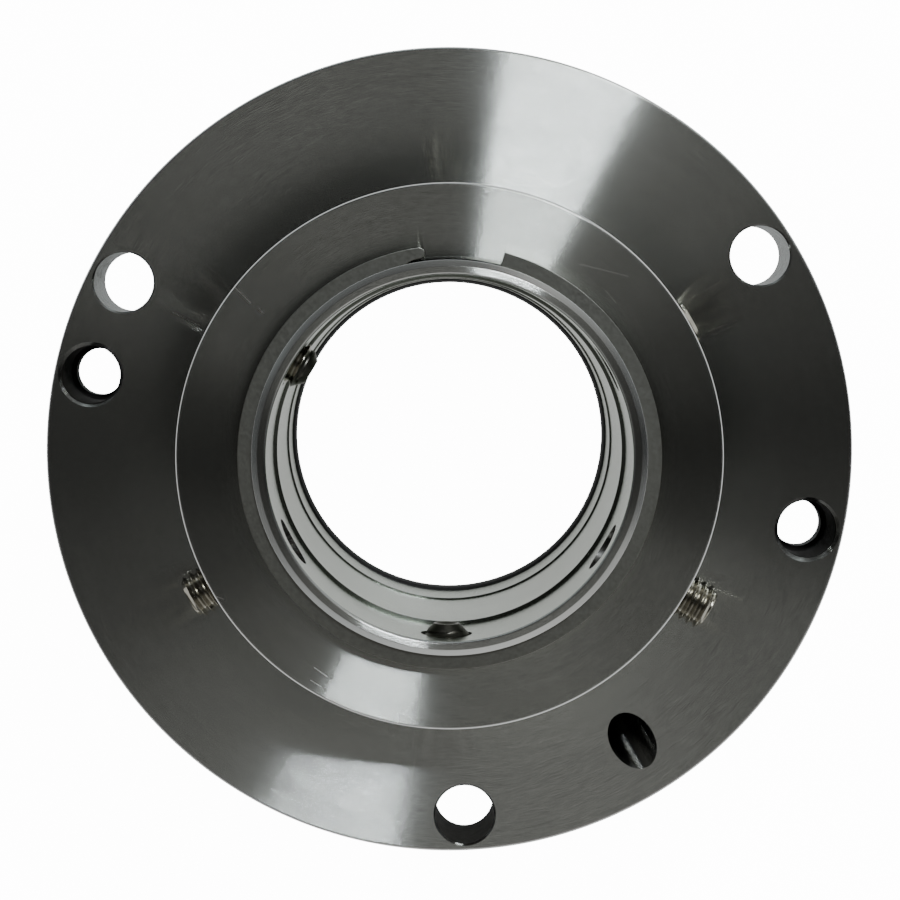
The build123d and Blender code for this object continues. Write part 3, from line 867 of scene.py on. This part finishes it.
# --------------------------------------------------------------- shaft sleeve
def make_sleeve():
    end_width, end_depth = sleeve_end_chamfer
    outline = [
        (step_bore_radius + bore_chamfer, 0),
        (tail_radius - shoulder_chamfer, 0),
        (tail_radius, shoulder_chamfer),
        (tail_radius, head_low),
        (head_radius - shoulder_chamfer, head_low),
        (head_radius, head_low + shoulder_chamfer),
        (head_radius, head_top),
        (sleeve_radius, head_top),
        (sleeve_radius, clip_groove[0]),
        (clip_groove_radius, clip_groove[0]),
        (clip_groove_radius, clip_groove[1]),
        (sleeve_radius, clip_groove[1]),
        (sleeve_radius, sleeve_length - end_depth),
        (sleeve_radius - end_width, sleeve_length),
        (relief_bore_radius + bore_chamfer, sleeve_length),
        (relief_bore_radius, sleeve_length - bore_chamfer),
        (relief_bore_radius, relief_height),
        (bore_radius, relief_height),
        (bore_radius, step_height),
        (step_bore_radius, step_height),
        (step_bore_radius, shaft_ring_groove[1]),
        (shaft_ring_groove_radius, shaft_ring_groove[1]),
        (shaft_ring_groove_radius, shaft_ring_groove[0]),
        (step_bore_radius, shaft_ring_groove[0]),
        (step_bore_radius, bore_chamfer),
    ]
    outline = rounded(outline, sleeve_edge_break)
    sleeve = finish_slopes(turned("sleeve_body", outline, body_segments), SLEEVE_EDGE)
    for face in sleeve.data.polygons:
        radius = math.hypot(face.center.x, face.center.y)
        if face.material_index == 0 and radius < (relief_bore_radius + 0.01) * MM:
            face.material_index = SLEEVE_BORE
    start, end = window_span
    window = [(0, start), (window_radius, start), (window_radius, end), (0, end)]
    for i in range(screw_count):
        cut(sleeve, place(turned("window", window, surface=HOLE), screw_axis(i)))
    smooth(sleeve)
    dress(sleeve, turned_steel, hole_steel, edge_steel, bore_steel)
    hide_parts("shaft_sleeve")
    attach(sleeve, "rotor")


# --------------------------------------------------- collar's retaining ring
def polar(radius, turn):
    return radius * math.cos(turn), radius * math.sin(turn)


def arc(radius, start, end, steps, centre=(0, 0)):
    """Points along an arc, from one angle to another."""
    points = []
    for i in range(steps + 1):
        x, y = polar(radius, math.radians(start + (end - start) * i / steps))
        points.append((centre[0] + x, centre[1] + y))
    return points


def clip_outline():
    """Open ring whose one end is scalloped on the inside, down to a rounded finger."""
    start, end = clip_opening
    middle = clip_radius - clip_finger - clip_scallop_radius
    half = clip_finger / 2
    finger = end + math.degrees(half / (clip_radius - half))
    turn = math.radians(finger)
    centre = polar(middle, turn)
    tip = polar(clip_radius - half, turn)
    # The scallop's circle meets the ring's bore at scallop_end, by the law of cosines.
    span = (middle**2 + clip_inner_radius**2 - clip_scallop_radius**2) / (
        2 * middle * clip_inner_radius
    )
    scallop_end = finger + math.degrees(math.acos(span))
    away = Vector(polar(clip_inner_radius, math.radians(scallop_end))) - Vector(centre)
    away_angle = math.degrees(math.atan2(away.y, away.x))
    outline = arc(clip_radius, finger, 360 + start, 180)
    outline += arc(clip_inner_radius, 360 + start, scallop_end, 150)
    outline += arc(clip_scallop_radius, away_angle, finger, 14, centre)[1:]
    outline += arc(half, finger + 180, finger + 360, 10, tip)[1:-1]
    return outline


def make_clip():
    outline = clip_outline()
    count = len(outline)
    points = [(x, y, z) for z in (clip_low, clip_top) for x, y in outline]
    faces = [tuple(range(count - 1, -1, -1)), tuple(range(count, 2 * count))]
    for i in range(count):
        j = (i + 1) % count
        faces.append((i, j, count + j, count + i))
    clip = closed_mesh("collar_clip", points, faces)
    bevel = clip.modifiers.new("stamped_edge", "BEVEL")
    bevel.width = clip_edge * MM
    bevel.segments = 2
    bevel.limit_method = "ANGLE"
    bevel.angle_limit = math.radians(50)
    smooth(applied(clip), 40)
    dress(clip, spring_steel)
    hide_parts("collar_retaining_ring")
    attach(clip, "rotor")


# ------------------------------------------------------------------ set screws
def socket_cutter(corner):
    """Hexagon socket with a drilled tip; corner is the radius to its corners."""
    floor = screw_length - socket_depth
    hexagon = [polar(corner, k * math.pi / 3) for k in range(6)]
    points = [(x, y, z) for z in (floor, screw_length + 1) for x, y in hexagon]
    points.append((0, 0, floor - socket_tip))
    faces = [(6, 7, 8, 9, 10, 11)]
    for k in range(6):
        n = (k + 1) % 6
        faces.append((k, n, 6 + n, 6 + k))
        faces.append((n, k, 12))
    return closed_mesh("socket", points, faces)


def make_screw_mesh():
    """Socket set screw along +Z, with its cup point at z = 0."""
    radii = (screw_radius, screw_root_radius)
    screw = thread("screw_pattern", *radii, screw_pitch, screw_length, screw_end_radii)
    cup = [(0, cup_depth), (0, -1), (cup_radius + 2, -1), (cup_radius, 0)]
    cut(screw, turned("cup", cup, thread_segments))
    corner = socket_across / math.sqrt(3)
    cut(screw, socket_cutter(corner))
    lead_low, lead_high = screw_length - socket_lead_depth, screw_length + 1
    lead = [(0, lead_low), (corner - 0.25, lead_low), (corner + 1.2, lead_high), (0, lead_high)]
    cut(screw, turned("lead", lead, thread_segments))
    # The point takes the darker copy of the steel: painted shade.
    for face in screw.data.polygons:
        if face.center.z < screw_point_length * MM:
            face.material_index = SCREW_POINT
    smooth(screw, 30)
    dress(screw, screw_steel, shaded_point_steel)
    mesh = screw.data
    bpy.data.objects.remove(screw)
    return mesh


def make_screws():
    mesh = make_screw_mesh()
    for i, point in enumerate(screw_points):
        screw = bpy.data.objects.new(f"threaded_screw_{i + 1}", mesh.copy())
        bpy.context.scene.collection.objects.link(screw)
        screw.matrix_world = in_metres(screw_axis(i) @ shift(z=point) @ spin(screw_turn * i))
        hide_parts(f"set_screw_{i + 1}")
        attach(screw, f"screw_{i + 1}")


# ------------------------------------------------------ pieces kept from the CAD
def dress_cad_nodes():
    looks = {
        "gland_o_ring": elastomer,
        "nose_o_ring": elastomer,
        "shaft_o_ring": elastomer,
        "mating_ring_o_ring": elastomer,
        "throttle_bushing": carbon,
        "primary_ring_insert": carbon,
        "mating_ring": ceramic,
        "primary_ring_holder": turned_steel,
        "thrust_disc": spring_steel,
        "wave_spring": spring_steel,
        "bushing_retaining_ring": spring_steel,
        "primary_retaining_ring": spring_steel,
    }
    for i in range(3):
        looks[f"drive_pin_{i + 1}"] = pin_steel
        looks[f"torque_pin_{i + 1}"] = pin_steel
    for name, material in looks.items():
        dress(nodes[name], material)
        for face in nodes[name].data.polygons:
            face.use_smooth = True
        nodes[name].data.set_sharp_from_angle(angle=math.radians(28))


# -------------------------------------------------------------- floor and light
def make_floor():
    half = 3000
    height = -0.05
    corners = ((-half, -half), (half, -half), (half, half), (-half, half))
    points = [(x, y, height) for x, y in corners]
    floor = closed_mesh("floor", points, [(0, 1, 2, 3)])
    g = Surface("pale_floor")
    g.shade("Base Color", (0.9, 0.9, 0.9, 1))
    g.shade("Roughness", 0.9)
    g.shade("Emission Color", (1, 1, 1, 1))
    # The eye sees a pale floor; the metal sees a duller one, with a painted shadow under the
    # flange, where its glow is cut off.
    seen_glow, mirrored_glow = 14.0, 0.62
    _, (x, y, _) = g.place_mm()
    radius = g.hypotenuse(x, y)
    inside = g.ramp(radius, 1.0, 0.0, 31.0, 36.0)
    outside = g.ramp(radius, 0.0, 1.0, 72.0, 95.0)
    mirrored = g.times(g.add(inside, outside), mirrored_glow)
    seen = g.times(g.node("ShaderNodeLightPath").outputs["Is Camera Ray"], seen_glow)
    g.shade("Emission Strength", g.math("MAXIMUM", mirrored, seen))
    dress(floor, g.material)


def panel(name, wall, distance, across, heights, radiance, tint):
    """Upright lit panel on a wall that faces the seal.

    wall is the wall's azimuth; across and heights are the panel's edges, to the right
    and up from the middle of the flange's face, as seen by one who faces the wall.
    """
    width, height = across[1] - across[0], heights[1] - heights[0]
    data = bpy.data.lights.new(name, "AREA")
    data.shape = "RECTANGLE"
    data.size = width * MM
    data.size_y = height * MM
    data.energy = radiance * math.pi * width * height * MM * MM
    data.color = tint
    light = bpy.data.objects.new(name, data)
    bpy.context.scene.collection.objects.link(light)
    turn = math.radians(wall)
    out = Vector((math.cos(turn), math.sin(turn), 0))
    right = Vector((math.sin(turn), -math.cos(turn), 0))
    middle = out * distance + right * sum(across) / 2
    middle.z = flange_top + sum(heights) / 2
    light.location = middle * MM
    light.rotation_mode = "QUATERNION"
    light.rotation_quaternion = out.to_track_quat("Z", "Y")


# Brightness of the room's walls, and of the glow low over its floor, by azimuth.
wall_levels = (
    (0, 0.015),
    (20, 0.06),
    (40, 0.16),
    (60, 0.30),
    (85, 0.09),
    (110, 0.06),
    (150, 0.05),
    (180, 0.03),
    (205, 0.11),
    (235, 0.23),
    (290, 0.43),
    (325, 0.29),
    (343, 0.08),
    (360, 0.015),
)
glow_levels = (
    (0, 0.05),
    (30, 0.35),
    (45, 0.9),
    (70, 0.8),
    (100, 0.75),
    (150, 0.65),
    (168, 0.15),
    (200, 0.10),
    (250, 0.25),
    (300, 0.10),
    (345, 0.10),
    (360, 0.05),
)
wall_tint = (1.0, 1.0, 0.96)
glow_tint = (0.85, 0.97, 1.0)


def make_world():
    """Dim room round the seal, lit unevenly."""
    world = bpy.data.worlds.new("room")
    world.use_nodes = True
    g = Graph(world.node_tree)
    x, y, z = g.split(g.node("ShaderNodeTexCoord").outputs["Generated"])
    turn = g.math("FRACT", g.math("DIVIDE", g.math("ARCTAN2", y, x), 2 * math.pi))

    def by_azimuth(levels, tint):
        ramp = g.node("ShaderNodeValToRGB")
        ramp.color_ramp.interpolation = "EASE"
        g.link(turn, ramp.inputs[0])
        stops = ramp.color_ramp.elements
        while len(stops) > 1:
            stops.remove(stops[-1])
        for angle, level in levels:
            stop = stops[0] if angle == 0 else stops.new(angle / 360)
            stop.position = angle / 360
            stop.color = (level * tint[0], level * tint[1], level * tint[2], 1)
        return ramp.outputs["Color"]

    # The ceiling is dark straight overhead.
    overhead = g.ramp(z, 1.0, 0.2, 0.90, 0.98, "SMOOTHSTEP")
    # The walls are paler towards the floor, which the chamfers mirror.
    lower = g.ramp(z, 1.0, 1.4, 0.36, 0.18, "SMOOTHSTEP")
    walls = by_azimuth(wall_levels, wall_tint)
    walls = g.vector_math("SCALE", walls, scale=g.times(overhead, lower))
    # Low over the floor the room is a little brighter and bluer on some sides.
    low_down = g.ramp(z, 0.0, 1.0, 0.17, 0.04, "SMOOTHSTEP")
    room = g.colours(low_down, walls, by_azimuth(glow_levels, glow_tint), blend="ADD")
    g.link(room, g.tree.nodes["Background"].inputs["Color"])
    bpy.context.scene.world = world


def make_lights():
    make_world()
    # A long narrow window high on a wall that stands askew, with a paler strip under it.
    wall, distance = 115, 1000
    across = [distance * math.tan(math.radians(angle)) for angle in (34, 55.5)]
    sill, foot, top = distance * 1.55, distance * 0.9, distance * 1.72
    panel("window", wall, distance, across, (sill, top), 88, (0.87, 0.93, 1.0))
    panel("under_window", wall, distance, across, (foot, sill), 8, (0.93, 1.0, 0.93))


def make_camera():
    # The picture is cut from a wider one, so the lens is shifted a little.
    data = bpy.data.cameras.new("camera")
    data.sensor_width = 36
    data.lens = 103.05
    data.shift_y = -0.0556
    camera = bpy.data.objects.new("camera", data)
    bpy.context.scene.collection.objects.link(camera)
    camera.location = Vector((-0.58, 32.45, flange_top + 445.1)) * MM
    camera.rotation_euler = (math.radians(-3.008), math.radians(-0.086), 0)
    bpy.context.scene.camera = camera


make_gland()
make_collar()
make_sleeve()
make_clip()
make_screws()
dress_cad_nodes()
make_floor()
make_lights()
make_camera()
